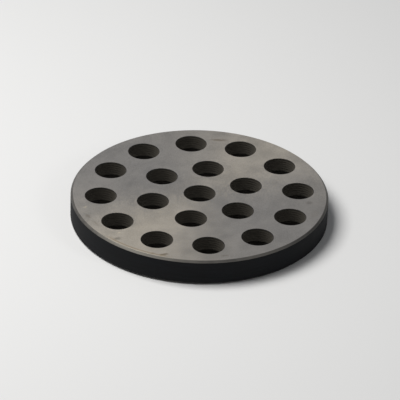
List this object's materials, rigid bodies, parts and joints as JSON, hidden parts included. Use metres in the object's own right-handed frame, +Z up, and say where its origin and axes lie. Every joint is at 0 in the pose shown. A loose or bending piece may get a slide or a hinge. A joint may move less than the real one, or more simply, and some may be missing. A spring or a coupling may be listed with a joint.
{
  "type": "perforated distribution plate",
  "caption": "Thick round ceramic plate with chamfered rims and rings of stepped through-holes that spread a gas or liquid evenly.",
  "frame": {"origin": "centre of the underside, the flat face that the plate lies on", "axes": "+Z up along the plate's axis, towards the face where the straight bores open; +X through the centre of one hole of the inner circle"},
  "size_m": [0.099, 0.099, 0.0102],
  "materials": {
    "ceramic": "fine ground, satin"
  },
  "bodies": {
    "root": {"distribution_plate": "ceramic"}
  },
  "joints": []
}
